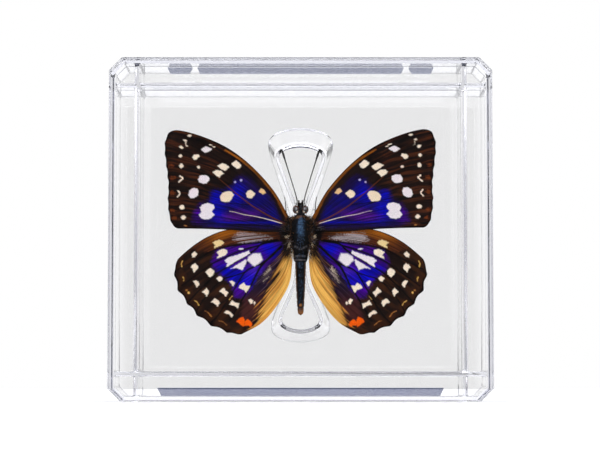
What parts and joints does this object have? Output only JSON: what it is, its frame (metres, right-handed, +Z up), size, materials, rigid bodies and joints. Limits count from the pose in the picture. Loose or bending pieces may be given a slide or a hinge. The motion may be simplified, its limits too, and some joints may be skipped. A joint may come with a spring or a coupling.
{
  "type": "butterfly in clear display case",
  "caption": "Spread butterfly carried on the recess floor of a clear back shell, under a clear front shell, in an upright rectangular display case with cut corners.",
  "frame": {"origin": "middle of the case's lower face, which is the middle of the lower side of the bounding box", "axes": "+X to the right seen from the front, -Y out of the front pane, +Z up; the case stands on its lower edge"},
  "size_m": [0.133, 0.032, 0.1194],
  "materials": {
    "clear_plastic": "clear moulded acrylic, polished",
    "insect_body": "slate black, furry thorax and ringed abdomen",
    "antenna": "black, satin",
    "forewing": "scaled wing, dark brown outside and blue-violet inside, with cream spots",
    "hindwing": "scaled wing, dark brown and blue-violet with a tan inner margin, cream spots and an orange corner patch"
  },
  "bodies": {
    "root": {"case_front": "clear_plastic", "case_back": "clear_plastic", "body": "insect_body", "antenna_left": "antenna", "antenna_right": "antenna", "forewing_left": "forewing", "forewing_right": "forewing", "hindwing_left": "hindwing", "hindwing_right": "hindwing"}
  },
  "joints": []
}
